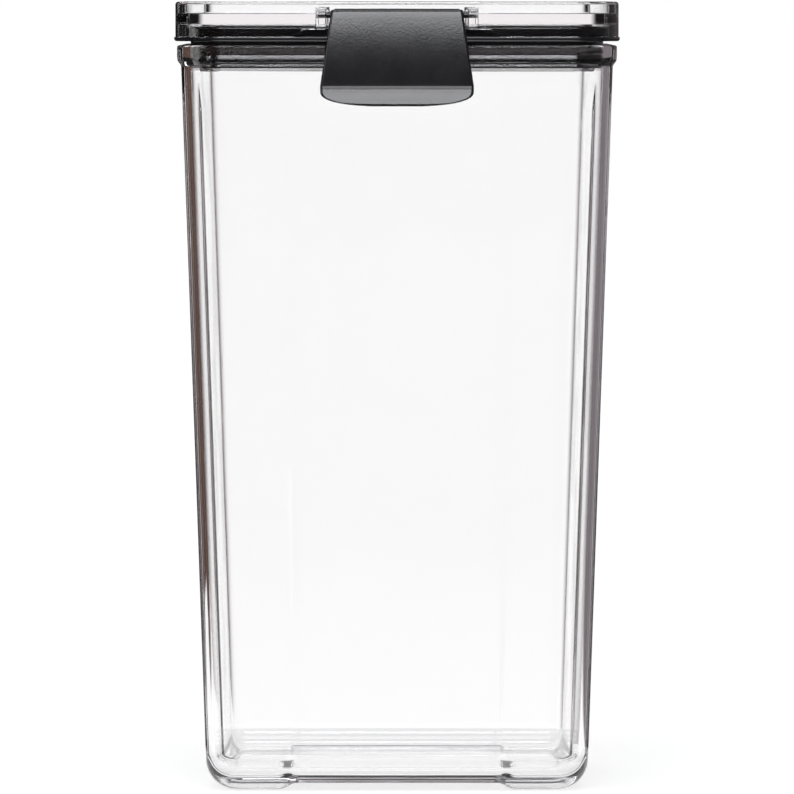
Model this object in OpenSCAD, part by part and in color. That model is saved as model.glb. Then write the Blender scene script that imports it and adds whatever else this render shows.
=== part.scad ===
// Square food canister with a sealed lid that two hinged clips hold down.
// Millimetres, +Z up. The origin is the centre of the base, on the surface the canister stands on.
// The front clip faces -Y. The clips hang unsnapped, just clear of the rim, so that the lid is free.

/* [Body] */
// Inner width across the flats at the mouth
mouth_w = 98.8; // [92:0.1:140]
// Inner corner radius at the mouth
mouth_r = 8; // [6:0.5:14]
// Height of the body, from the feet to the rim
body_h = 178; // [90:1:260]
// Slope of the side walls, in degrees
draft = 1.95; // [0.5:0.05:2.5]
// Wall thickness
wall_t = 2.2; // [1.6:0.1:2.4]
// Floor thickness
floor_t = 2.3; // [1.6:0.1:4]
// Outer corner radius at the base
base_r = 9; // [8.5:0.5:14]
// Radius of the rounding between walls and base, outside
base_round = 7; // [3:0.5:8]
// Radius of the rounding between walls and floor, inside
floor_round = 4.5; // [2:0.5:6]
// Width of the rim's top face
rim_w = 3; // [2.8:0.1:4]
// Height of the rim
rim_h = 3.9; // [3:0.1:6]

/* [Feet and side flutes] */
// Height of the four corner feet
foot_h = 1.8; // [0.8:0.1:3]
// Distance between two feet
foot_gap = 56.6; // [40:0.2:66]
// Length over which a foot's flank runs out
foot_flank = 4; // [1:0.1:8]
// Depth of the shallow flute in each side
flute_d = 0.7; // [0.2:0.1:1.2]
// Width of a flute's slanted edge
flute_edge = 2.8; // [1:0.1:6]
// Width of a flute at the top
flute_top_w = 47.8; // [30:0.2:60]
// Width of a flute at the base
flute_base_w = 52.8; // [30:0.2:62]
// Distance below the rim at which the flutes have run out
flute_stop = 5; // [3:0.5:20]
// Height over which the flutes run out
flute_fade = 8; // [3:0.5:20]

/* [Lid] */
// How far the lid's rim stands out past the body's
lid_over = 0.4; // [0:0.1:1]
// Height of the lid's rim
skirt_h = 8.4; // [8:0.1:12]
// Wall thickness of the lid's rim
skirt_t = 2.2; // [1.6:0.1:2.6]
// Depth of the lid's top recess below its rim
recess_d = 2.9; // [1.5:0.1:3.2]
// Thickness of the lid's panel
panel_t = 2.4; // [1.6:0.1:3]
// Thickness of the wall that carries the seal
plug_t = 1.8; // [1.2:0.1:3]
// Height of the bead that keeps the seal on
bead_h = 0.8; // [0.5:0.1:1.5]
// Rounding of the lid's edges
lid_edge = 0.7; // [0.3:0.1:0.8]

/* [Seal] */
// Open gap between the body's rim and the seal's flange
rim_gap = 1; // [0.6:0.1:1.5]
// Thickness of the seal's flange
flange_t = 1; // [0.7:0.1:1.5]
// How far the flange stands out past the lid's rim
flange_out = 0.3; // [0.1:0.1:0.8]
// Thickness of the seal's sleeve, from the lid's wall to the wiper lips
sleeve_t = 2.6; // [2:0.1:3]
// Depth of the seal inside the mouth
seal_depth = 5.4; // [5:0.1:8]
// Height of the sleeve above the flange
collar_h = 2.5; // [1:0.1:2.7]
// How far a wiper lip stands out from the sleeve
lip_out = 0.45; // [0.3:0.05:1]
// Gap between the wiper lips and the mouth
lip_gap = 0.25; // [0.15:0.05:0.6]
// Play between the seal and the lid's wall
seat_gap = 0.05; // [0.02:0.01:0.1]

/* [Clips] */
// Width of a clip at its hinge
clip_top_w = 31.2; // [24:0.2:36]
// Width of a clip at its finger lip
clip_low_w = 36.4; // [26:0.2:42]
// Thickness of a clip's panel
clip_t = 2; // [1.6:0.1:3]
// Length of a clip from its hinge to the finger lip's crease
clip_reach = 17; // [16:0.1:26]
// How far the top of a clip leans back
clip_lean = 1.5; // [0:0.1:1.8]
// How far a clip's face tucks in above the finger lip
clip_tuck = 0.25; // [0:0.05:0.6]
// Crown of a clip's face across its width
clip_crown = 0.35; // [0:0.05:0.8]
// Rounding of a clip's edges
clip_edge = 0.7; // [0.2:0.1:0.8]
// Height of the finger lip
finger_h = 5; // [3:0.1:9]
// Height over which the finger lip's corners round off
finger_round = 3.8; // [2:0.1:4.5]
// Step at the finger lip's crease
finger_step = 0.5; // [0.2:0.1:1]
// How far the finger lip flares out
finger_flare = 1.3; // [0.5:0.1:3]
// Height of the hinge above the seal's flange
hinge_up = 5.2; // [4.8:0.1:6]
// Distance of the hinge behind the outer face of the lid's rim
hinge_in = 1.7; // [1.5:0.1:2.4]
// Radius of a clip's knuckle
knuckle_r = 1.2; // [1:0.1:1.4]
// Radius of a clip's pins
pin_r = 0.7; // [0.5:0.05:0.9]
// Radial clearance of a pin in its bore
pin_gap = 0.05; // [0.02:0.01:0.1]
// Length of a pin inside its bore
pin_len = 2; // [1:0.1:2.2]
// Gap between a clip and the hinge lug beside it
lug_gap = 1.3; // [0.4:0.1:2]
// Thickness of a hinge lug
lug_t = 2.4; // [2:0.1:4]
// Room for the clip's knuckle to swing in, in front of the pocket's back wall
swing_gap = 1.5; // [1.2:0.1:2.5]
// Height of the notch in the lid's rim beside a clip
notch_h = 1.8; // [1:0.1:2]
// How far a notch is wider than the pocket, at its upper edge
notch_over = 3; // [1:0.1:6]
// Gap between a snapped clip's panel and the seal's flange
panel_gap = 0.6; // [0.5:0.1:1.5]

/* [Catch] */
// Width of the keeper under the body's rim
keeper_w = 26; // [16:1:30]
// Width of a clip's catch
catch_w = 22; // [12:1:28]
// How far a snapped clip's catch reaches under the keeper
catch_bite = 0.55; // [0.3:0.05:0.6]
// Height of the catch's tip
catch_h = 1; // [0.6:0.1:2]
// Gap between a snapped catch and the keeper above it
catch_gap = 0.2; // [0.15:0.05:0.6]
// Gap between the catch and the keeper when the clip hangs unsnapped
release_gap = 0.12; // [0.05:0.01:0.3]
// Thickness of the ribs below a clip's catch
rib_t = 1.2; // [0.8:0.1:2]
// Height of the ribs below a clip's catch
rib_h = 3.4; // [1.5:0.1:4]

/* [Hidden] */
$fn = 96;
over = 1;                                       // how far a cut runs past what it cuts
sunk = 0.5;                                     // how deep a shape is sunk into what carries it
arc_steps = 10;                                 // facets in each rounded corner of the body
round_steps = 6;                                // facets in each rounding of an edge
fade_steps = 4;                                 // levels over which a flute runs out

// Levels
rim_z = body_h - rim_h;                         // underside of the keeper
floor_z = foot_h + floor_t;                     // inner floor
flange_z = body_h + rim_gap;                    // underside of the seal's flange
skirt_z = flange_z + flange_t;                  // lower edge of the lid's rim
lid_top = skirt_z + skirt_h;                    // top of the lid's rim
recess_z = lid_top - recess_d;                  // top of the lid's panel
panel_z = recess_z - panel_t;                   // underside of the lid's panel
seal_z = body_h - seal_depth;                   // lower end of the seal
collar_z = skirt_z + collar_h;                  // upper end of the seal

// Half widths. All rings of the lid and the seal turn about the mouth's own corner centres.
mouth = mouth_w / 2;
core = mouth - mouth_r;                         // corner centres
rim = mouth + rim_w;                            // outer face of the body's rim
lid_rim = rim + lid_over;                       // outer face of the lid's rim
flange = lid_rim + flange_out;                  // edge of the seal's flange
lip = mouth - lip_gap;                          // tips of the wiper lips
sleeve = lip - lip_out;                         // the seal's sleeve between its lips
plug = lip - sleeve_t - seat_gap;               // outer face of the wall that carries the seal
collar_room = 0.6;                              // least room between the collar and the lid's rim
collar_out = 0.6;                               // how far the collar stands out past the mouth
collar = min(lid_rim - skirt_t - collar_room, mouth + collar_out);
seal_edge = 0.4;                                // bevel of the seal's edges
seal_lips = 2;                                  // number of wiper lips
shoulder_h = 0.3;                               // height of the shoulder that centres the seal
lip_pitch = (seal_depth - 2 * shoulder_h) / (seal_lips + 1);
lip_under = 0.2 * lip_pitch;                    // height of a wiper lip's hollow underside
lip_rise = 0.75 * lip_pitch;                    // height of a wiper lip above its tip
lip_sweep = 1.2;                                // power of the curve of its upper side
bead_out = 0.65;                                // how far the bead stands out

// Hinges and pockets. Distances to the front are counted from the canister's centre.
hinge_y = lid_rim - hinge_in;
hinge_z = skirt_z + hinge_up;
lug_x = clip_top_w / 2 + lug_gap;               // inner face of a hinge lug
pocket_x = lug_x + lug_t;                       // half width of the pocket in the lid's rim
pocket_y = hinge_y - knuckle_r - swing_gap;     // front of the pocket's back wall
notch_x = pocket_x + notch_over;                // half width of the notch at its upper edge
lug_inset = 0.1;                                // how far a lug keeps clear of the rim's face and the seal
weld = 0.02;                                    // overlap of a lug with the rim beside it
bore_end = 0.3;                                 // room between a pin's end and the end of its bore

// Clips, in a frame of their own: the hinge is the X axis, and the clip hangs snapped.
panel_in = flange + panel_gap - hinge_y;        // inner face of the panel
panel_out = panel_in + clip_t;                  // outer face of the panel
catch_top = rim_z - catch_gap - hinge_z;        // upper face of the catch
catch_tip = rim - catch_bite - hinge_y;         // tip of the catch
catch_swing = norm([catch_tip, catch_top]);
// Angle by which an unsnapped clip hangs clear of the keeper
release = asin((rim + release_gap - hinge_y) / catch_swing) - asin(catch_tip / catch_swing);

function arc(c, r, a0, a1, n) =
    [for (i = [0:n]) c + r * [cos(a0 + (a1 - a0) * i / n), sin(a0 + (a1 - a0) * i / n)]];
function smooth(t) = let (u = min(1, max(0, t))) u * u * (3 - 2 * u);

// Triangles from point c to each stretch of a path of points
function fan(c, path) = [for (i = [0:len(path) - 2]) [c, path[i], path[i + 1]]];
function middle(ring) = [for (p = ring) 1] * ring / len(ring);

// Joins rings of as many points each into one closed skin, from the first ring to the last. The first
// ring is closed by a fan, or by the faces in base, which may also use the points in hub.
module loft(rings, hub = [], base = []) {
    n = len(rings[0]);
    last = len(rings) - 1;
    hubs = concat(len(base) > 0 ? hub : [middle(rings[0])], [middle(rings[last])]);
    first_hub = n * len(rings);
    polyhedron(
        points = concat([for (ring = rings, p = ring) p], hubs),
        faces = concat(
            len(base) > 0 ? base : fan(first_hub, [for (i = [0:n]) i % n]),
            [for (k = [0:last - 1], i = [0:n - 1]) let (j = (i + 1) % n)
                [k * n + i, (k + 1) * n + i, (k + 1) * n + j, k * n + j]],
            fan(first_hub + len(hubs) - 1, [for (i = [n:-1:0]) last * n + i % n])),
        convexity = 4);
}

// Sweeps a profile round the mouth. The profile's x is the half width, and its y the height.
module around() {
    for (k = [0:3])
        rotate(90 * k) {
            rotate([90, 0, 0])
                linear_extrude(2 * core, center = true) children();
            translate([core, core, 0])
                rotate_extrude(angle = 90) translate([-core, 0]) children();
        }
}

// A plate in the mouth's outline
module plate(half, z, h) {
    translate([0, 0, z])
        linear_extrude(h) {
            square([2 * half, 2 * core], center = true);
            square([2 * core, 2 * half], center = true);
            for (x = [-core, core], y = [-core, core])
                translate([x, y]) circle(half - core);
        }
}

module front_and_rear() {
    children();
    rotate(180) children();
}

// Extrudes a side view along X. Its x is the distance to the front, and its y the height.
module across(width) {
    rotate([90, 0, -90])
        linear_extrude(width, center = true) children();
}

// ---- body ----

// Half width of the inner walls at height z
function inner(z) = mouth - (body_h - z) * tan(draft);
// Outer corner radius at height z
function corner(z) = base_r + (mouth_r + wall_t - base_r) * z / body_h;
// Half width of a flute at height z
function flute(z) = (flute_base_w + (flute_top_w - flute_base_w) * z / body_h) / 2;
// Depth of a flute at height z
function flute_depth(z) = flute_d * smooth((rim_z - flute_stop - z) / flute_fade);
function ramp(t) = min(1, max(0, t));

// Where a foot's flank and a flute's edge start and end, as distances from the middle of a side
foot_out = foot_gap / 2;
foot_in = foot_out - foot_flank;
flute_out = flute(0);
flute_in = flute_out - flute_edge;
// The same four, the largest first
bends = let (a = min(foot_out, flute_out), b = max(foot_in, flute_in))
    [max(foot_out, flute_out), max(a, b), min(a, b), min(foot_in, flute_in)];
function larger(y) = (flute_out > y ? 1 : 0) + (flute_in > y ? 1 : 0);

// One level of the body's skin: a rounded square with a flute in each side. Between the feet it
// keeps above their height.
function level(z, half, r, d) = [
    for (k = [0:3], p = concat(
        [for (i = [0:3]) [-1, i]], [for (i = [3:-1:0]) [1, i]],
        arc([half - r, half - r], r, 0, 90, arc_steps)))
    let (bend = abs(p.x) == 1 && p.y < 4,
         y = bend ? p.x * (bends[p.y] + flute(z) - flute(0)) : p.y,
         x = bend ? half - d * ramp((flute_out - bends[p.y]) / flute_edge) : p.x,
         rise = bend ? foot_h * ramp((foot_out - bends[p.y]) / foot_flank) : 0)
    [x * cos(90 * k) - y * sin(90 * k), x * sin(90 * k) + y * cos(90 * k), max(z, rise)]];
level_points = 8 + arc_steps + 1;               // points in a quarter of a level

function outer_level(z, inset = 0) =
    level(z, inner(z) + wall_t - inset, corner(z) - inset, flute_depth(z));
function inner_level(z, inset = 0) =
    level(z, inner(z) - inset, corner(z) - wall_t - inset, flute_depth(z));
function rim_level(z, half) = level(z, half, half - core, 0);

fade_z = [for (i = [fade_steps:-1:0]) rim_z - flute_stop - flute_fade * i / fade_steps];
rim_edge = 0.45;                                // rounding of the rim's upper edges
rim_slope = 1;                                  // height of the rim's slope into the wall
rim_draft = 0.5;                                // how much narrower the rim is at its slope

skin = concat(
    // up the outside
    [for (i = [0:round_steps]) let (a = 90 * i / round_steps)
        outer_level(base_round * (1 - cos(a)), base_round * (1 - sin(a)))],
    [for (z = fade_z) outer_level(z)],
    // round the rim
    [outer_level(rim_z - rim_slope),
     rim_level(rim_z, rim - rim_draft),
     rim_level(rim_z + rim_h / 3, rim)],
    [for (a = [0:30:90])
        rim_level(body_h - rim_edge * (1 - sin(a)), rim - rim_edge * (1 - cos(a)))],
    [for (a = [0:30:90])
        rim_level(body_h - rim_edge * (1 - cos(a)), mouth + rim_edge * (1 - sin(a)))],
    // down the inside
    [inner_level(rim_z)],
    [for (i = [fade_steps:-1:0]) inner_level(fade_z[i])],
    [for (i = [round_steps:-1:0]) let (a = 90 * i / round_steps)
        inner_level(floor_z + floor_round * (1 - cos(a)), floor_round * (1 - sin(a)))]);

// The base: four feet with slanted flanks, and a raised cross between them. In each quarter, hub
// holds the inner corner of a foot and the corner of the cross beside it, and last its middle.
hub = concat(
    [for (k = [0:3], p = [[foot_out, 0], [foot_in, foot_h]])
        [p.x * (cos(90 * k) - sin(90 * k)), p.x * (sin(90 * k) + cos(90 * k)), p.y]],
    [[0, 0, foot_h]]);
base_faces = let (
        m = level_points, first_hub = len(skin) * 4 * m,
        o = larger(foot_out), n = 1 + larger(foot_in),
        cross = [for (k = [0:3]) each concat(
            [for (i = [k * m + n:k * m + 7 - n]) i], [first_hub + 2 * k + 1])])
    concat(
        [for (k = [0:3]) let (s = k * m, t = (k + 1) % 4 * m, foot = first_hub + 2 * k)
            each concat(
                fan(foot, concat([for (i = [s + 7 - o:s + m - 1]) i], [for (i = [t:t + o]) i])),
                fan(foot + 1, concat([for (i = [s + 7 - n:s + 7 - o]) i], [foot])),
                fan(foot, concat([for (i = [t + o:t + n]) i], [foot + 1])))],
        fan(first_hub + 8, concat(cross, [cross[0]])));

// The flat-bottomed ledge under the rim that a clip's catch snaps under
module keeper() {
    root = inner(rim_z) + wall_t / 2;
    across(keeper_w)
        polygon([[root, rim_z], [rim, rim_z], [rim, rim_z + rim_h / 2], [root, rim_z + rim_h / 2]]);
}

module body() {
    color([0.93, 0.95, 0.96, 0.35]) {
        loft(skin, hub, base_faces);
        front_and_rear() keeper();
    }
}

// ---- lid ----

// Section of the lid's rim, with rounded upper edges, from height z to the top
module rim_section(outer, z) {
    polygon(concat(
        [[outer - skirt_t, z], [outer, z]],
        arc([outer - lid_edge, lid_top - lid_edge], lid_edge, 0, 90, round_steps),
        arc([outer - skirt_t + lid_edge, lid_top - lid_edge], lid_edge, 90, 180, round_steps)));
}

// Section of the wall that carries the seal, with the bead that keeps it on
module seal_carrier() {
    polygon([[plug - plug_t, seal_z - bead_h], [plug + bead_out * 2 / 3, seal_z - bead_h],
             [plug + bead_out, seal_z - seat_gap], [plug, seal_z - seat_gap],
             [plug, panel_z + panel_t / 2], [plug - plug_t, panel_z + panel_t / 2]]);
}

// Where a clip sits, the rim steps in behind it
module pocket_walls() {
    across(2 * pocket_x) rim_section(pocket_y, panel_z);
    for (m = [0, 1])
        mirror([m, 0, 0])
            translate([0, -(pocket_y - skirt_t), 0])
                rotate([90, 0, 0])
                    linear_extrude(lid_rim - skirt_t / 2 - pocket_y + skirt_t)
                        rim_section(pocket_x + skirt_t, panel_z);
}

module pocket_space() {
    depth = lid_rim + over - pocket_y;
    translate([-pocket_x, -lid_rim - over, skirt_z - over])
        cube([2 * pocket_x, depth, skirt_h + 2 * over]);
    // the notch flares downward beside the clip
    translate([0, -pocket_y, skirt_z])
        rotate([90, 0, 0])
            linear_extrude(depth)
                polygon([[-notch_x - notch_h - over, -over], [notch_x + notch_h + over, -over],
                         [notch_x, notch_h], [-notch_x, notch_h]]);
}

// The ears that carry a clip's pins. They step up over the seal's collar.
module hinge_lugs() {
    r = hinge_in - lug_inset;
    low = skirt_z + notch_h;
    step = [collar, collar_z] + lug_inset * [1, 1];
    for (x = [-1, 1])
        translate([x * (lug_x + lug_t / 2), 0, 0])
            across(lug_t + weld)
                polygon(concat(
                    [[pocket_y - sunk, step.y], step, [step.x, low], [hinge_y + r, low]],
                    arc([hinge_y, hinge_z], r, 0, 90, 2 * round_steps),
                    [[pocket_y - sunk, hinge_z + r]]));
}

module hinge_bores() {
    depth = lug_x + pin_len + bore_end;
    translate([0, -hinge_y, hinge_z])
        rotate([0, 90, 0])
            cylinder(r = pin_r + pin_gap, h = 2 * depth, center = true);
}

module lid() {
    color([0.94, 0.96, 0.97, 0.35])
        difference() {
            union() {
                difference() {
                    union() {
                        around() rim_section(lid_rim, skirt_z);
                        plate(lid_rim - skirt_t / 2, panel_z, panel_t);
                        front_and_rear() pocket_walls();
                    }
                    front_and_rear() pocket_space();
                }
                around() seal_carrier();
                front_and_rear() hinge_lugs();
            }
            front_and_rear() hinge_bores();
        }
}

// ---- seal ----

// Section of a wiper lip, from below upward: the hollow underside, the tip, and the swept upper side
lip_section = concat(
    [[0, -lip_under], [0.8 * lip_out, -lip_under / 3]],
    [for (t = [0:0.2:1]) [lip_out * pow(1 - t, lip_sweep), lip_rise * t]]);

module seal() {
    edge = seal_edge;
    top = body_h - 2 * shoulder_h;
    color([0.07, 0.07, 0.08])
        around()
            polygon(concat(
                [[plug + seat_gap, seal_z], [sleeve, seal_z]],
                [for (k = [seal_lips:-1:1], p = lip_section)
                    [sleeve, top - lip_pitch * k + lip_under] + p],
                [[sleeve, top], [lip, body_h - shoulder_h], [lip, flange_z],
                 [flange - edge, flange_z], [flange, flange_z + edge], [flange, skirt_z - edge / 4],
                 [flange - edge / 4, skirt_z], [collar, skirt_z], [collar, collar_z - edge],
                 [collar - edge, collar_z], [plug + seat_gap, collar_z]]));
}

// ---- clips ----

web_in = 0.4;                                   // inner face of the web that carries the knuckle
web_up = 1;                                     // height above the seal at which the web starts
arris = 0.2;                                    // bevel of a clip's inner edges
face_round = 0.45;                              // most of the panel's thickness that a rounded edge takes
crease_share = 1 / 6;                           // share of the finger lip's height that its crease takes
lip_hollow = 0.2;                               // how much thinner a clip is behind the finger lip
lip_curl = 0.7;                                 // share of the flare that is curved
lip_power = 2.6;                                // power of the curve round the finger lip's corners
lip_end = 77.4;                                 // angle at which that curve meets the flat lower edge
lip_steps = 9;                                  // facets of that curve
panel_steps = 14;                               // levels between a clip's top and its crease
catch_slope = 0.6;                              // rise of the catch's underside to its tip

// Distance from the top of a clip's face to height v, as a share of its height above the crease
function share(v) = (knuckle_r - v) / (knuckle_r + clip_reach);
// How far below the crease height v lies, as a share of the finger lip's height
function below(v) = max(0, -clip_reach - v) / finger_h;
// How far the finger lip flares out at share t of its height
function flare(t) = finger_flare * ((1 - lip_curl) * t + lip_curl * t * t);
// Outer face of a clip at height v
function face(v) = let (s = min(1, share(v)), t = below(v))
    panel_out - clip_lean * (1 - s) * (1 - s) - clip_tuck * s * s
    + finger_step * smooth(t / crease_share) + flare(t);
// Inner face of a clip at height v: it sweeps in to the knuckle's web at the top
function back(v) =
    let (t = below(v), s = smooth((v + hinge_up - web_up) / (hinge_up - web_up - knuckle_r)))
    panel_in + (web_in - panel_in) * s
    + (finger_step + lip_hollow) * smooth(t / crease_share / 2) + flare(t);
// Half width of a clip at height v: straight sides that flare, and a bowed lower edge
function side(v) =
    let (s = min(1, share(v)), t = max(0, -clip_foot + finger_round - v) / finger_round)
    (clip_top_w + (clip_low_w - clip_top_w) * s) / 2
    * pow(1 - pow(t, lip_power), 1 / lip_power);

// One level of a clip's panel: a flat bar with rounded edges and a crowned face, drawn in by trim
function clip_level(v, trim) =
    let (w = side(v), e = min(clip_edge, w / 4), b = back(v) + trim, f = face(v) - trim,
         q = min(e, face_round * (f - b)))
    [for (p = concat(
        [[-w + arris, b], [w - arris, b], [w, b + arris]],
        [for (a = [0:30:90]) [w - e * (1 - cos(a)), f - q * (1 - sin(a))]],
        [for (u = [0.75:-0.25:-0.75])
            [u * (w - e), f + clip_crown * (1 - u * u) * w * 2 / clip_low_w]],
        [for (a = [90:-30:0]) [-w + e * (1 - cos(a)), f - q * (1 - sin(a))]],
        [[-w, b + arris]]))
     [p.x, -p.y, v]];

clip_foot = clip_reach + finger_h;              // from the hinge to the finger lip's edge
top_edge = knuckle_r - clip_edge;
clip_heights = concat(
    [knuckle_r, knuckle_r - clip_edge / 4],
    [for (i = [0:panel_steps]) top_edge - (clip_reach + top_edge) * i / panel_steps],
    [for (i = [1:3]) -clip_reach - finger_h * crease_share * i / 3],
    [for (i = [0:lip_steps]) -clip_foot + finger_round * (1 - sin(lip_end * i / lip_steps))]);
// How much a level is drawn in, so that the upper and lower edges are rounded too
function clip_trim(v) = let (d = min(knuckle_r - v, v + clip_foot, clip_edge) / clip_edge)
    clip_edge * (1 - sqrt(1 - (1 - d) * (1 - d)));

module clip_panel() {
    loft([for (v = clip_heights) clip_level(v, clip_trim(v))]);
}

// The bar that snaps under the keeper
module catch_bar() {
    across(catch_w)
        polygon([[panel_in + sunk, catch_top], [catch_tip + arris, catch_top],
                 [catch_tip, catch_top - arris], [catch_tip, catch_top - catch_h],
                 [panel_in + sunk, catch_top - catch_h - catch_slope]]);
}

module catch_ribs() {
    root = catch_tip + 2 * arris;
    for (x = [-1:1])
        translate([x * (catch_w - rib_t) / 2, 0, 0])
            across(rib_t)
                polygon([[panel_in + sunk, catch_top - arris], [root, catch_top - arris],
                         [root, catch_top - catch_h],
                         [panel_in + sunk, catch_top - catch_h - rib_h]]);
}

module clip() {
    translate([0, -hinge_y, hinge_z])
        rotate([-release, 0, 0]) {
            clip_panel();
            rotate([0, 90, 0]) cylinder(r = knuckle_r, h = clip_top_w - 2 * arris, center = true);
            rotate([0, 90, 0]) cylinder(r = pin_r, h = 2 * (lug_x + pin_len), center = true);
            catch_bar();
            catch_ribs();
        }
}

module front_clip() { color([0.12, 0.12, 0.13]) clip(); }
module rear_clip() { color([0.12, 0.12, 0.13]) rotate(180) clip(); }

body();
lid();
seal();
front_clip();
rear_clip();
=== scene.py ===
# Square food canister: clear body and lid, black seal, two dark clips.
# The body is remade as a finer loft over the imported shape's levels. The other pieces keep their packed
# shape and get soft edges. Sizes of the pieces are in millimetres, and MM turns them into metres. The
# studio and the materials are in metres.
import math

import bmesh
import bpy
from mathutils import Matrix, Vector


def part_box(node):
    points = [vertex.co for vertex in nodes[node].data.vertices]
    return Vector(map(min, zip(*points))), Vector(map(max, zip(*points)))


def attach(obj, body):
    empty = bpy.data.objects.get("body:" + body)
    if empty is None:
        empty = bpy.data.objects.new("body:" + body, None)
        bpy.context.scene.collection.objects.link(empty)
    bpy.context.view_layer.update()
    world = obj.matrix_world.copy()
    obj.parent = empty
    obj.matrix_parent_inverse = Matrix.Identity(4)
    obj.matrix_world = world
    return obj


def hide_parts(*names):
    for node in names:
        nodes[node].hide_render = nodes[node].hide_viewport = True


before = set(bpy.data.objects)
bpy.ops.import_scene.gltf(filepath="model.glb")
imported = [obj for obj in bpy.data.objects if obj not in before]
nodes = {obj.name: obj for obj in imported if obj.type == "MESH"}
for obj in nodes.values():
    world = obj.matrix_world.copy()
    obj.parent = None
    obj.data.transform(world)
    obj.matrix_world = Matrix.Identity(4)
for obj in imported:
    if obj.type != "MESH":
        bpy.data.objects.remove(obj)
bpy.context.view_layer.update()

MM = 0.001
QUARTER = math.pi / 2
X, Z = 0, 2                           # axes of a point


def top_of(node, axis):
    """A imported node's highest coordinate along an axis, in millimetres."""
    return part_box(node)[1][axis] / MM


# ---- sizes of the body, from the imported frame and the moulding's own values ----

BODY_TOP = top_of("body", Z)
RIM = top_of("body", X)               # half width of the rim
RIM_WIDTH = 3.0
MOUTH = RIM - RIM_WIDTH               # half width of the mouth
MOUTH_RADIUS = 8.0
CORE = MOUTH - MOUTH_RADIUS           # the corner centres of the rim
RIM_HEIGHT = 3.9
RIM_Z = BODY_TOP - RIM_HEIGHT
RIM_EDGE = 0.45                       # rounding of the rim's upper edges
DRAFT = math.tan(math.radians(1.95))
WALL = 2.2
BASE_RADIUS = 9.0
BASE_ROUND = 7.0                      # rounding between walls and base, outside
FLOOR_Z = 4.1
FLOOR_ROUND = 4.5                     # rounding between walls and floor, inside
FOOT_HEIGHT = 1.8
FOOT_OUT = 28.3                       # where a foot's flank meets the foot
FOOT_FLANK = 4.0
FLUTE_DEPTH = 0.7
FLUTE_EDGE = 2.8
FLUTE_BASE = 26.4                     # half width of a flute at the base
FLUTE_TOP = 23.9                      # and at the top
FLUTE_STOP = 5.0                      # from the rim down to a flute's end
FLUTE_FADE = 8.0                      # height over which a flute reaches its depth
FLUTE_CORE = 13.0                     # half width of a flute's middle, whose points stay in line
FLUTE_SHIFT = 8.0                     # width over which the points beside it start to follow the edge

# ---- levels and places of the skin ----

SIDES = 4
ARC_STEPS = 24                        # facets of a corner
ROUND_STEPS = 14                      # and of the roundings at the base and the floor
EDGE_STEPS = 5                        # and of the rim's upper edges
FADE_STEPS = 10                       # levels over a flute's end
WALL_LEVELS = [20 + 15 * i for i in range(9)]
RIM_BELOW = (2, 1.2, 1.0)             # levels of the wall under the rim, down from it
RIM_ROOT = 1                          # where the rim grows out of the wall, down from it
# the rim's underside: height over RIM_Z, and the share of the way from the wall out to the rim
RIM_CURVE = [(-0.95, 0.03), (-0.5, 0.30), (-0.1, 0.62), (0.12, 0.83), (0.5, 0.92), (1.3, 1.0)]
# places along half a side: close together over the flute's edge and the foot's flank
WIDE_PLACES = [0.0, 8.0, 12.85, 13.15, 15.0, 30.5, 33.0]
CLOSE_PLACES = [21.0 + 0.4 * i for i in range(20)]
HALF_SIDE = sorted(WIDE_PLACES + CLOSE_PLACES)
SIDE = [-u for u in reversed(HALF_SIDE) if u > 0] + HALF_SIDE


def smooth(t):
    """0 up to 0, 1 from 1 on, and a smooth rise between."""
    u = min(1.0, max(0.0, t))
    return u * u * (3 - 2 * u)


# ---- mesh helpers ----

MERGE = 0.002                         # distance under which points are one point
FLAT_ANGLE = 0.3                      # degrees under which neighbours become one flat face
SHARP_ANGLE = 35.0                    # over which an edge is softened
SHADE_ANGLE = 40.0                    # up to which shading runs smoothly from face to face
SOFT_STEPS = 3                        # facets of a soft edge
SOFT_PROFILE = 0.5                    # a round one
FACE_SHARE = 1e-9                     # keeps a normal where every face round a corner is empty


def finish_piece(name, mesh, body, replaced):
    piece = bpy.data.objects.new(name, mesh)
    bpy.context.collection.objects.link(piece)
    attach(piece, body)
    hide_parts(replaced)
    return piece


def keep_flat(mesh):
    """Leads the shading at each corner by its largest face, so that flat walls don't bend the view."""
    near = math.cos(math.radians(SHADE_ANGLE))
    around = [[] for _ in mesh.vertices]
    for face in mesh.polygons:
        for v in face.vertices:
            around[v].append((face.normal.copy(), (face.area / MM ** 2) ** 2))
    normals = []
    for face in mesh.polygons:
        for v in face.vertices:
            total = face.normal * FACE_SHARE
            for normal, weight in around[v]:
                if normal.dot(face.normal) > near:
                    total = total + weight * normal
            normals.append(total.normalized())
    mesh.normals_split_custom_set(normals)


# ---- body ----

def inner(z):
    """Half width of the inside at height z."""
    return MOUTH - (BODY_TOP - z) * DRAFT


def corner(z):
    """Outer radius of the corners at height z."""
    return BASE_RADIUS + (MOUTH_RADIUS + WALL - BASE_RADIUS) * z / BODY_TOP


def flute_depth(z):
    return FLUTE_DEPTH * smooth((RIM_Z - FLUTE_STOP - z) / FLUTE_FADE)


def foot_rise(u):
    """Height of the base at distance u from the middle: the feet stand at 0."""
    return FOOT_HEIGHT * smooth((FOOT_OUT - abs(u)) / FOOT_FLANK)


def place(u, z):
    """A place along a side at height z: the flutes narrow towards the top."""
    shift = (FLUTE_TOP - FLUTE_BASE) * z / BODY_TOP * smooth((abs(u) - FLUTE_CORE) / FLUTE_SHIFT)
    return u + math.copysign(shift, u) if u else 0.0


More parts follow.
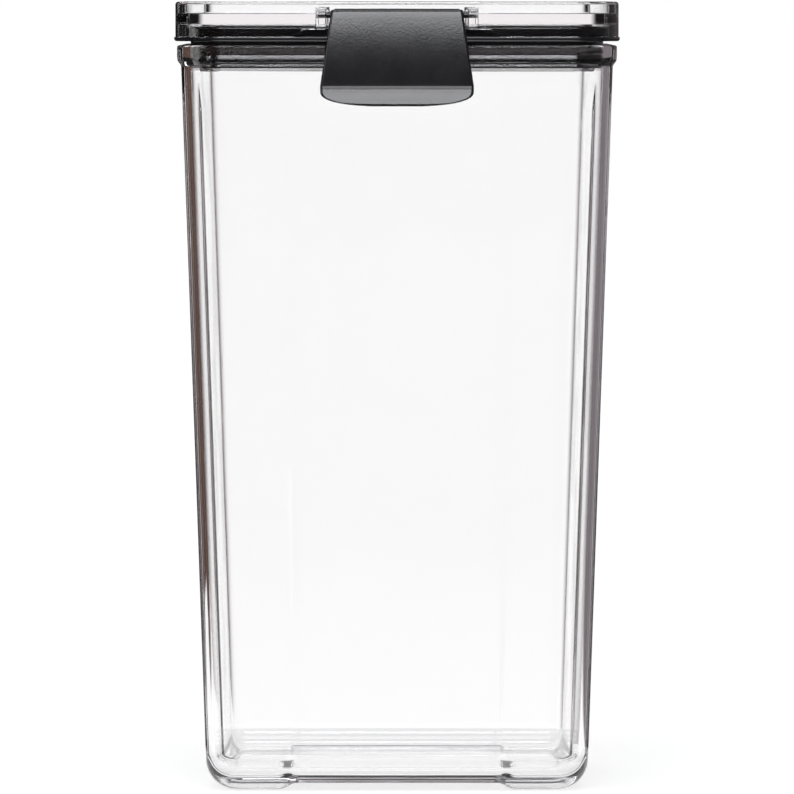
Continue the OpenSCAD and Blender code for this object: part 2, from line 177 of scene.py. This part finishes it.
def level(z, half, radius, depth):
    """One level of the skin, counter-clockwise from the right side's front end."""
    middle = half - radius
    right = [(half, -middle, z)]
    for u in SIDE:
        flat = smooth((FLUTE_BASE - abs(u)) / FLUTE_EDGE)
        right.append((half - depth * flat, place(u, z), max(z, foot_rise(u))))
    right.append((half, middle, z))
    for i in range(1, ARC_STEPS):
        a = QUARTER * i / ARC_STEPS
        right.append((middle + radius * math.cos(a), middle + radius * math.sin(a), z))
    ring = []
    for side in range(SIDES):
        c, s = math.cos(QUARTER * side), math.sin(QUARTER * side)
        ring += [(x * c - y * s, x * s + y * c, h) for x, y, h in right]
    return ring


def outside(z, inset=0.0):
    return level(z, inner(z) + WALL - inset, corner(z) - inset, flute_depth(z))


def inside(z, inset=0.0):
    return level(z, inner(z) - inset, corner(z) - WALL - inset, flute_depth(z))


def rim(z, half):
    return level(z, half, half - CORE, 0.0)


def body_rings():
    """The skin's levels: up the outside, round the rim, and down the inside to the floor."""
    turn = [QUARTER * i / ROUND_STEPS for i in range(ROUND_STEPS + 1)]
    edge = [QUARTER * i / EDGE_STEPS for i in range(EDGE_STEPS + 1)]
    fade = [RIM_Z - FLUTE_STOP - FLUTE_FADE * i / FADE_STEPS for i in range(FADE_STEPS, -1, -1)]
    walls = WALL_LEVELS + fade
    root = inner(RIM_Z - RIM_ROOT) + WALL
    rings = [outside(BASE_ROUND * (1 - math.cos(a)), BASE_ROUND * (1 - math.sin(a))) for a in turn]
    rings += [outside(z) for z in walls]
    rings += [outside(RIM_Z - below) for below in RIM_BELOW]
    rings += [rim(RIM_Z + rise, root + (RIM - root) * share) for rise, share in RIM_CURVE]
    rings += [rim(BODY_TOP - RIM_EDGE * (1 - math.sin(a)), RIM - RIM_EDGE * (1 - math.cos(a)))
              for a in edge]
    rings += [rim(BODY_TOP - RIM_EDGE * (1 - math.cos(a)), MOUTH + RIM_EDGE * (1 - math.sin(a)))
              for a in edge]
    rings += [inside(RIM_Z), inside(RIM_Z - RIM_BELOW[0])]
    rings += [inside(z) for z in reversed(walls)]
    rings += [inside(FLOOR_Z + FLOOR_ROUND * (1 - math.cos(a)), FLOOR_ROUND * (1 - math.sin(a)))
              for a in reversed(turn)]
    return rings


def base_patch(points, faces, count):
    """Closes the base inside the first ring, which has count points, by a grid that follows the feet."""
    start = len(points)
    corner_centre = inner(0) + WALL - BASE_RADIUS
    places = [-corner_centre] + SIDE + [corner_centre]
    size = len(places)
    last = size - 1
    points += [(x, y, max(foot_rise(x), foot_rise(y))) for y in places for x in places]

    def grid(i, j):
        return start + j * size + i

    for j in range(last):
        for i in range(last):
            faces.append((grid(i, j), grid(i, j + 1), grid(i + 1, j + 1), grid(i + 1, j)))
    # the strip between each border of the grid and the first ring, and the fan at its corner
    borders = ([grid(last, k) for k in range(size)],
               [grid(last - k, last) for k in range(size)],
               [grid(0, last - k) for k in range(size)],
               [grid(k, 0) for k in range(size)])
    side_count = count // SIDES
    for side, border in enumerate(borders):
        first = side * side_count
        for k in range(last):
            faces.append((first + k, border[k], border[k + 1], first + k + 1))
        for k in range(last, side_count):
            faces.append((border[last], (first + k + 1) % count, first + k))


def face_outwards(mesh):
    bm = bmesh.new()
    bm.from_mesh(mesh)
    bmesh.ops.recalc_face_normals(bm, faces=bm.faces)
    bm.to_mesh(mesh)
    bm.free()


def make_body(material):
    rings = body_rings()
    count = len(rings[0])
    points = [point for ring in rings for point in ring]
    last_ring = len(points) - count
    faces = []
    for lower in range(0, last_ring, count):
        for i in range(count):
            j = (i + 1) % count
            faces.append((lower + i, lower + j, lower + count + j, lower + count + i))
    # the last ring bounds the flat of the floor
    faces.append(tuple(range(last_ring, last_ring + count)))
    base_patch(points, faces, count)
    mesh = bpy.data.meshes.new("body_shell")
    mesh.from_pydata([tuple(c * MM for c in point) for point in points], [], faces)
    mesh.validate()
    mesh.shade_smooth()
    face_outwards(mesh)
    mesh.set_sharp_from_angle(angle=math.radians(SHADE_ANGLE))
    mesh.materials.append(material)
    piece = finish_piece("body_shell", mesh, "canister", "body")
    piece.modifiers.new("flat faces stay flat", "WEIGHTED_NORMAL").keep_sharp = True


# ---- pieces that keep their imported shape, with softened edges ----

LID_EDGE = 0.2                        # widths of the soft edges
SEAL_EDGE = 0.12
CLIP_EDGE = 0.15
LID_ROUNDED = 0.8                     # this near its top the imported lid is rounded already


def soften(name, node, body, material, width, ceiling=math.inf):
    """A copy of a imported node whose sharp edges, up to the ceiling, are rounded as a mould rounds them."""
    bm = bmesh.new()
    bm.from_mesh(nodes[node].data)
    bmesh.ops.remove_doubles(bm, verts=bm.verts, dist=MERGE * MM)
    bmesh.ops.dissolve_limit(bm, angle_limit=math.radians(FLAT_ANGLE), verts=bm.verts, edges=bm.edges)
    sharp = [e for e in bm.edges if e.is_manifold and e.calc_face_angle(0) > math.radians(SHARP_ANGLE)
             and max(v.co.z for v in e.verts) < ceiling * MM]
    bmesh.ops.bevel(bm, geom=sharp, offset=width * MM, offset_type="OFFSET", segments=SOFT_STEPS,
                    profile=SOFT_PROFILE, affect="EDGES", clamp_overlap=False)
    mesh = bpy.data.meshes.new(name)
    bm.to_mesh(mesh)
    bm.free()
    mesh.shade_smooth()
    keep_flat(mesh)
    mesh.materials.clear()
    mesh.materials.append(material)
    finish_piece(name, mesh, body, node)


# ---- camera ----

EYE_DISTANCE = 2.2
EYE_HEIGHT = 0.190
AIM_HEIGHT = 0.0923
LENS = 410.5                          # millimetres
SIGHT = 20                            # how far the camera sees


def make_camera():
    camera = bpy.data.objects.new("camera", bpy.data.cameras.new("camera"))
    camera.data.lens = LENS
    camera.data.clip_end = SIGHT
    camera.location = (0, -EYE_DISTANCE, EYE_HEIGHT)
    drop = math.atan2(EYE_HEIGHT - AIM_HEIGHT, EYE_DISTANCE)
    camera.rotation_euler = (QUARTER - drop, 0, 0)
    bpy.context.collection.objects.link(camera)
    bpy.context.scene.camera = camera


# ---- shader nodes ----

class Wiring:
    """Makes and links the shader nodes of one material or world."""

    def __init__(self, owner):
        owner.use_nodes = True
        self.tree = owner.node_tree

    def node(self, kind, **settings):
        node = self.tree.nodes.new(kind)
        for name, value in settings.items():
            setattr(node, name, value)
        return node

    def feed(self, socket, value):
        """Links an output to a socket, or sets the socket's own number or colour."""
        if isinstance(value, bpy.types.NodeSocket):
            self.tree.links.new(value, socket)
        elif isinstance(value, tuple):
            socket.default_value = (*value, 1)
        else:
            socket.default_value = value

    def plain(self, kind, colour, strength=None):
        """A shader of one colour: an emission, a background or a diffuse surface."""
        node = self.node(kind)
        self.feed(node.inputs["Color"], colour)
        if strength is not None:
            self.feed(node.inputs["Strength"], strength)
        return node.outputs[0]

    def finish(self, kind, shader):
        """The output node of this kind, fed by the shader."""
        self.feed(self.node(kind).inputs["Surface"], shader)

    def math(self, operation, *values):
        node = self.node("ShaderNodeMath", operation=operation)
        for socket, value in zip(node.inputs, values):
            self.feed(socket, value)
        return node.outputs[0]

    def place(self):
        """The place in the object's own frame."""
        return self.node("ShaderNodeTexCoord").outputs["Object"]

    def axes(self):
        split = self.node("ShaderNodeSeparateXYZ")
        self.feed(split.inputs[0], self.place())
        return split.outputs

    def step(self, value, start, end, low=0.0, high=1.0):
        """A smooth step from low to high while the value goes from start to end."""
        node = self.node("ShaderNodeMapRange", interpolation_type="SMOOTHSTEP")
        for name, number in zip(("Value", "From Min", "From Max", "To Min", "To Max"),
                                (value, start, end, low, high)):
            self.feed(node.inputs[name], number)
        return node.outputs[0]

    def blend(self, factor, a, b):
        node = self.node("ShaderNodeMix", data_type="RGBA")
        for name, value in zip(("Factor", "A", "B"), (factor, a, b)):
            self.feed(node.inputs[name], value)
        return node.outputs["Result"]

    def noise(self, size, detail=2.0, stretch=(1, 1, 1)):
        """Noise whose features are about this size in metres, drawn out along an axis by stretch."""
        mapping = self.node("ShaderNodeMapping")
        self.feed(mapping.inputs["Vector"], self.place())
        self.feed(mapping.inputs["Scale"], [1 / (size * k) for k in stretch])
        node = self.node("ShaderNodeTexNoise")
        self.feed(node.inputs["Vector"], mapping.outputs[0])
        self.feed(node.inputs["Scale"], 1.0)
        self.feed(node.inputs["Detail"], detail)
        return node.outputs["Fac"]

    def bump(self, height, depth, below=None):
        """Relief of this depth in metres, over the relief below it."""
        node = self.node("ShaderNodeBump")
        self.feed(node.inputs["Strength"], 1.0)
        self.feed(node.inputs["Distance"], depth)
        self.feed(node.inputs["Height"], height)
        if below:
            self.feed(node.inputs["Normal"], below)
        return node.outputs[0]


# ---- studio ----

WHITE = (1, 1, 1)
WORLD_LIGHT = 0.35                    # strength at which the world lights matt surfaces
WORLD_SEEN = 1.0                      # and at which the camera, reflections and clear pieces see it
FLOOR_SIZE = 6                        # half width
FLOOR_DROP = 0.00005                  # a hair under the feet, so that no two faces share a plane
FLOOR_COLOUR = (0.35, 0.35, 0.35)
FLOOR_SPREAD = (0.1, 2.4)             # distances between which the floor's own glow grows
FLOOR_GLOW = (0.75, 0.93)             # from and to this strength
LAMP_COLOUR = (0.955, 0.965, 1.0)
LAMP_AIM = (0, 0, 0.1)
LAMPS = {                             # location, size and power
    "front": ((0.0, -1.62, 1.15), (1.2, 0.7), 17),
    "key": ((-1.3, -1.0, 0.9), (0.35, 0.9), 4),
    "top": ((0.0, -0.55, 1.9), (1.2, 0.8), 11),
    "back": ((-0.5, 1.5, 1.15), (0.9, 0.6), 5),
}


def make_world():
    world = bpy.data.worlds.new("studio")
    bpy.context.scene.world = world
    w = Wiring(world)
    w.tree.nodes.clear()
    ray = w.node("ShaderNodeLightPath").outputs
    seen = w.math("MAXIMUM", w.math("MAXIMUM", ray["Is Camera Ray"], ray["Is Glossy Ray"]),
                  ray["Is Transmission Ray"])
    mix = w.node("ShaderNodeMixShader")
    w.feed(mix.inputs[0], seen)
    w.feed(mix.inputs[1], w.plain("ShaderNodeBackground", WHITE, WORLD_LIGHT))
    w.feed(mix.inputs[2], w.plain("ShaderNodeBackground", WHITE, WORLD_SEEN))
    w.finish("ShaderNodeOutputWorld", mix.outputs[0])


def link_mesh(name, points, faces, material):
    mesh = bpy.data.meshes.new(name)
    mesh.from_pydata(points, [], faces)
    mesh.materials.append(material)
    thing = bpy.data.objects.new(name, mesh)
    bpy.context.collection.objects.link(thing)
    return thing


def floor_white():
    """White that takes a soft shadow, and whose own glow grows away from the object."""
    material = bpy.data.materials.new("floor_white")
    w = Wiring(material)
    w.tree.nodes.clear()
    away = w.node("ShaderNodeVectorMath", operation="LENGTH")
    w.feed(away.inputs[0], w.place())
    glow = w.step(away.outputs["Value"], *FLOOR_SPREAD, *FLOOR_GLOW)
    both = w.node("ShaderNodeAddShader")
    w.feed(both.inputs[0], w.plain("ShaderNodeBsdfDiffuse", FLOOR_COLOUR))
    w.feed(both.inputs[1], w.plain("ShaderNodeEmission", WHITE, glow))
    w.finish("ShaderNodeOutputMaterial", both.outputs[0])
    return material


def make_floor():
    size = FLOOR_SIZE
    points = [(-size, -size, 0), (size, -size, 0), (size, size, 0), (-size, size, 0)]
    floor = link_mesh("floor", points, [(0, 1, 2, 3)], floor_white())
    floor.location = (0, 0, -FLOOR_DROP)


def make_lamp(name, location, size, power):
    data = bpy.data.lights.new(name, "AREA")
    data.shape = "RECTANGLE"
    data.size, data.size_y = size
    data.energy = power
    data.color = LAMP_COLOUR
    lamp = bpy.data.objects.new(name, data)
    lamp.location = location
    lamp.rotation_euler = (Vector(LAMP_AIM) - lamp.location).to_track_quat("-Z", "Y").to_euler()
    lamp.visible_camera = False
    bpy.context.collection.objects.link(lamp)


# ---- cloths of the studio, which only reflections or only refractions see ----

BLACK = (0.03, 0.03, 0.032)
DEEP_BLACK = (0.01, 0.01, 0.01)
WHITE_CARD = (1.13, 1.13, 1.13)       # over 1, because the plastic takes light from what shows through
LEFT_FLAG = (0.105, 0.065, 0.055)
RIGHT_FLAG = (0.20, 0.175, 0.19)
FLAG_BLEND = (-0.3, 0.3)              # x over which the left flag's colour turns into the right one's
STRIP = 0.04                          # half width of the white strips at the object
STRIP_EDGE = 5.0                      # angle at which they start to darken
STRIP_END = 20.0                      # and at which they are dark
LID_STRIP_END = 11.0                  # the same, level with the lid
LID_LEVEL = (0.160, 0.170)            # heights between which the lid's level starts
FRONT_FLAGS = (-0.2, -0.35)           # y between which the flags turn dark towards the front
RIGHT_FLAGS = (0.6, 0.75)             # x between which they turn dark towards the right
FRONT_WEDGES = (-0.12, -0.6)          # y between which the wedges turn dark towards the front
DIAGONAL = (0.085, 0.13)              # |x + y| between which the floor's white diagonal turns dark
DIAGONAL_END = (0.68, 0.8)            # y - x between which it ends
TENT_GREY_X = (-0.3, 0.6)             # x and y between which the tent turns grey
TENT_GREY_Y = (-0.5, 0.5)
TENT_RADIUS = 2.6
CEILING_EDGE = 3.4                    # degrees over the horizon
CLOTH_INNER = 0.09                    # inner radius and height of the floor's black cloth
CLOTH_HEIGHT = 0.001
FLAG_RADIUS = 0.8
FLAG_TOP = 0.5
WEDGE_INNER = 0.1                     # inner radius and height of the wedges
WEDGE_HEIGHT = 0.0007
RING_STEPS = 96
DOME_STEPS = 12


def make_card(name, points, faces, material, transmission, glossy):
    card = link_mesh(name, points, faces, material)
    card.visible_camera = False
    card.visible_diffuse = False
    card.visible_shadow = False
    card.visible_volume_scatter = False
    card.visible_transmission = transmission
    card.visible_glossy = glossy


def make_ring(name, rims, material, **seen):
    """A card all round the object. rims are its edges: (radius, height)."""
    count = len(rims)
    points = []
    faces = []
    for i in range(RING_STEPS):
        a = 2 * math.pi * i / RING_STEPS
        points += [(r * math.sin(a), -r * math.cos(a), z) for r, z in rims]
    for i in range(RING_STEPS):
        for k in range(count - 1):
            a, b = i * count + k, (i + 1) % RING_STEPS * count + k
            faces.append((a, a + 1, b + 1, b))
    make_card(name, points, faces, material, **seen)


def dome(radius, start):
    """The profile of a dome, from this angle over the horizon to its top."""
    angles = [start + (QUARTER - start) * i / DOME_STEPS for i in range(DOME_STEPS + 1)]
    return [(radius * math.cos(a), radius * math.sin(a)) for a in angles]


def new_cloth(name):
    """A material that glows in its own colour, which lamps and shadows leave alone."""
    material = bpy.data.materials.new(name)
    w = Wiring(material)
    w.tree.nodes.clear()
    glow = w.node("ShaderNodeEmission")
    w.finish("ShaderNodeOutputMaterial", glow.outputs[0])
    return material, w, glow.inputs["Color"]


def black_cloth():
    material, w, colour = new_cloth("black_cloth")
    w.feed(colour, BLACK)
    return material


def tent_cloth():
    """Black, and grey at the right rear, which the body's right edge reflects."""
    material, w, colour = new_cloth("tent_cloth")
    x, y = w.axes()[:2]
    grey = w.math("MULTIPLY", w.step(x, *TENT_GREY_X), w.step(y, *TENT_GREY_Y))
    w.feed(colour, w.blend(grey, BLACK, RIGHT_FLAG))
    return material


def beside_strip(w, slope, end):
    """0 on a white strip and 1 past its end, where slope is the tangent of the angle beside it."""
    return w.step(slope, math.tan(math.radians(STRIP_EDGE)), math.tan(math.radians(end)))


def flag_cloth(name, floor):
    """Dark cloth with white strips behind the object and at its left, which show through it."""
    material, w, colour = new_cloth(name)
    x, y, z = w.axes()
    ax, ay = w.math("ABSOLUTE", x), w.math("ABSOLUTE", y)
    past = w.math("SUBTRACT", w.math("MINIMUM", ax, ay), STRIP)
    slope = w.math("DIVIDE", past, w.math("MAXIMUM", ax, ay))
    dark = beside_strip(w, slope, STRIP_END)
    if floor:
        # the floor that shows through the object from its front right and its back left stays white
        dark = w.math("MAXIMUM", dark, w.step(y, *FRONT_WEDGES))
        off = w.step(w.math("ABSOLUTE", w.math("ADD", x, y)), *DIAGONAL)
        beyond = w.step(w.math("SUBTRACT", y, x), *DIAGONAL_END)
        dark = w.math("MULTIPLY", dark, w.math("MAXIMUM", off, beyond))
    else:
        dark = w.math("MAXIMUM", dark, w.step(y, *FRONT_FLAGS))
        dark = w.math("MAXIMUM", dark, w.step(x, *RIGHT_FLAGS))
    # level with the lid the strips are narrower and the cloth is black
    high = w.step(z, *LID_LEVEL)
    dark = w.math("MAXIMUM", dark, w.math("MULTIPLY", high, beside_strip(w, slope, LID_STRIP_END)))
    flag = w.blend(w.step(x, *FLAG_BLEND), LEFT_FLAG, RIGHT_FLAG)
    w.feed(colour, w.blend(dark, WHITE_CARD, w.blend(high, flag, DEEP_BLACK)))
    return material


def make_cloths():
    black = black_cloth()
    reflected = {"transmission": False, "glossy": True}
    refracted = {"transmission": True, "glossy": False}
    make_ring("tent", dome(TENT_RADIUS, 0.0), tent_cloth(), **reflected)
    make_ring("ceiling", dome(TENT_RADIUS, math.radians(CEILING_EDGE)), black, **refracted)
    make_ring("floor_cloth", [(CLOTH_INNER, CLOTH_HEIGHT), (TENT_RADIUS, CLOTH_HEIGHT)], black,
              **reflected)
    make_ring("flags", [(FLAG_RADIUS, 0.0), (FLAG_RADIUS, FLAG_TOP)], flag_cloth("flag_cloth", False),
              **refracted)
    make_ring("wedges", [(WEDGE_INNER, WEDGE_HEIGHT), (FLAG_RADIUS, WEDGE_HEIGHT)],
              flag_cloth("wedge_cloth", True), **refracted)


# ---- materials ----

PLASTIC_IOR = 1.54
PLASTIC_CLEAR = 1                     # how much of it lets light through
PLASTIC_TINTS = (WHITE, (0.985, 0.985, 0.99))
PLASTIC_ABSORBS = (0.62, 0.52, 0.55)  # colour and density of the plastic's volume
PLASTIC_DENSITY = 4
SMEAR_SIZE = 0.022
SMEAR_DETAIL = 4
SMEAR_LEVELS = (0.45, 0.75)
SMEAR_ROUGHNESS = (0.008, 0.03)
SCRATCH_WIDTH = 0.0012
SCRATCH_DETAIL = 1
SCRATCH_STRETCH = (1, 1, 14)
SCRATCH_LEVELS = (0.72, 0.80)
SCRATCH_ROUGHNESS = 0.05
SCRATCH_DEPTH = 0.000002
WAVE_SIZE = 0.03
WAVE_DETAIL = 1
WAVE_DEPTH = 0.00010

SEAL_IOR = 1.75
SEAL_TONES = ((0.0035, 0.0035, 0.004), (0.007, 0.007, 0.0078))
SEAL_PATCH = 0.009
SEAL_ROUGHNESS = (0.15, 0.23)
SEAL_GRAIN = 0.0003
SEAL_GRAIN_DEPTH = 0.000004
DUST_SIZE = 0.0005
DUST_DETAIL = 0
DUST_LEVELS = (0.74, 0.82)
DUST_COVER = 0.25
DUST_TONE = (0.12, 0.12, 0.12)

CLIP_IOR = 1.6
CLIP_TONES = ((0.006, 0.006, 0.0067), (0.011, 0.011, 0.0121))
CLIP_PATCH = 0.006
CLIP_ROUGHNESS = (0.17, 0.20)
CLIP_GRAIN = 0.00045
CLIP_GRAIN_DEPTH = 0.000022
CLIP_GRAIN_ROUGHNESS = 0.04
WORN_LEVELS = (0.53, 0.60)            # pointiness between which an edge is worn
WORN_TONE = (0.022, 0.022, 0.024)
WORN_POLISH = 0.06

PATCH_LEVELS = (0.3, 0.7)
PATCH_DETAIL = 3


def new_material(name):
    material = bpy.data.materials.new(name)
    w = Wiring(material)
    return material, w, w.tree.nodes["Principled BSDF"].inputs


def clear_plastic(name):
    """Clear plastic: faint smears and hairline scratches on a slightly wavy moulded surface."""
    material, w, shader = new_material(name)
    smear = w.noise(SMEAR_SIZE, SMEAR_DETAIL)
    scratch = w.step(w.noise(SCRATCH_WIDTH, SCRATCH_DETAIL, SCRATCH_STRETCH), *SCRATCH_LEVELS)
    wave = w.bump(w.noise(WAVE_SIZE, WAVE_DETAIL), WAVE_DEPTH)
    w.feed(shader["Base Color"], w.blend(smear, *PLASTIC_TINTS))
    w.feed(shader["Roughness"], w.math("ADD", w.step(smear, *SMEAR_LEVELS, *SMEAR_ROUGHNESS),
                                       w.math("MULTIPLY", scratch, SCRATCH_ROUGHNESS)))
    w.feed(shader["Normal"], w.bump(scratch, -SCRATCH_DEPTH, wave))
    w.feed(shader["IOR"], PLASTIC_IOR)
    w.feed(shader["Transmission Weight"], PLASTIC_CLEAR)
    absorb = w.node("ShaderNodeVolumeAbsorption")
    w.feed(absorb.inputs["Color"], PLASTIC_ABSORBS)
    w.feed(absorb.inputs["Density"], PLASTIC_DENSITY)
    w.feed(w.tree.nodes["Material Output"].inputs["Volume"], absorb.outputs[0])
    return material


def seal_rubber(name):
    """Black satin rubber with a fine grain and a little dust."""
    material, w, shader = new_material(name)
    patch = w.noise(SEAL_PATCH, PATCH_DETAIL)
    dust = w.step(w.noise(DUST_SIZE, DUST_DETAIL), *DUST_LEVELS)
    w.feed(shader["Base Color"], w.blend(w.math("MULTIPLY", dust, DUST_COVER),
                                         w.blend(patch, *SEAL_TONES), DUST_TONE))
    w.feed(shader["Roughness"], w.step(patch, *PATCH_LEVELS, *SEAL_ROUGHNESS))
    w.feed(shader["Normal"], w.bump(w.noise(SEAL_GRAIN), SEAL_GRAIN_DEPTH))
    w.feed(shader["IOR"], SEAL_IOR)
    return material


def clip_plastic(name):
    """Black moulded plastic: a fine spark-eroded grain, polished a little along the edges."""
    material, w, shader = new_material(name)
    grain = w.noise(CLIP_GRAIN)
    patch = w.noise(CLIP_PATCH, PATCH_DETAIL)
    worn = w.step(w.node("ShaderNodeNewGeometry").outputs["Pointiness"], *WORN_LEVELS)
    w.feed(shader["Base Color"], w.blend(worn, w.blend(patch, *CLIP_TONES), WORN_TONE))
    rough = w.math("ADD", w.step(patch, *PATCH_LEVELS, *CLIP_ROUGHNESS),
                   w.math("MULTIPLY", grain, CLIP_GRAIN_ROUGHNESS))
    w.feed(shader["Roughness"], w.math("SUBTRACT", rough, w.math("MULTIPLY", worn, WORN_POLISH)))
    w.feed(shader["Normal"], w.bump(grain, CLIP_GRAIN_DEPTH))
    w.feed(shader["IOR"], CLIP_IOR)
    return material


# ---- the scene ----

BOUNCES = 32                          # light crosses many clear walls on its way
GLOSSY_BOUNCES = 24

make_camera()
make_world()
make_floor()
make_cloths()
for name, (location, size, power) in LAMPS.items():
    make_lamp(name, location, size, power)

make_body(clear_plastic("body_plastic_look"))
soften("lid_shell", "lid", "lid", clear_plastic("lid_plastic_look"), LID_EDGE,
       ceiling=top_of("lid", Z) - LID_ROUNDED)
soften("seal_ring", "seal", "lid", seal_rubber("seal_rubber_look"), SEAL_EDGE)
clip_look = clip_plastic("clip_plastic_look")
for clip in ("front_clip", "rear_clip"):
    soften(clip + "_shell", clip, clip, clip_look, CLIP_EDGE)

scene = bpy.context.scene
scene.cycles.max_bounces = BOUNCES
scene.cycles.transmission_bounces = BOUNCES
scene.cycles.glossy_bounces = GLOSSY_BOUNCES
scene.view_settings.view_transform = "Standard"
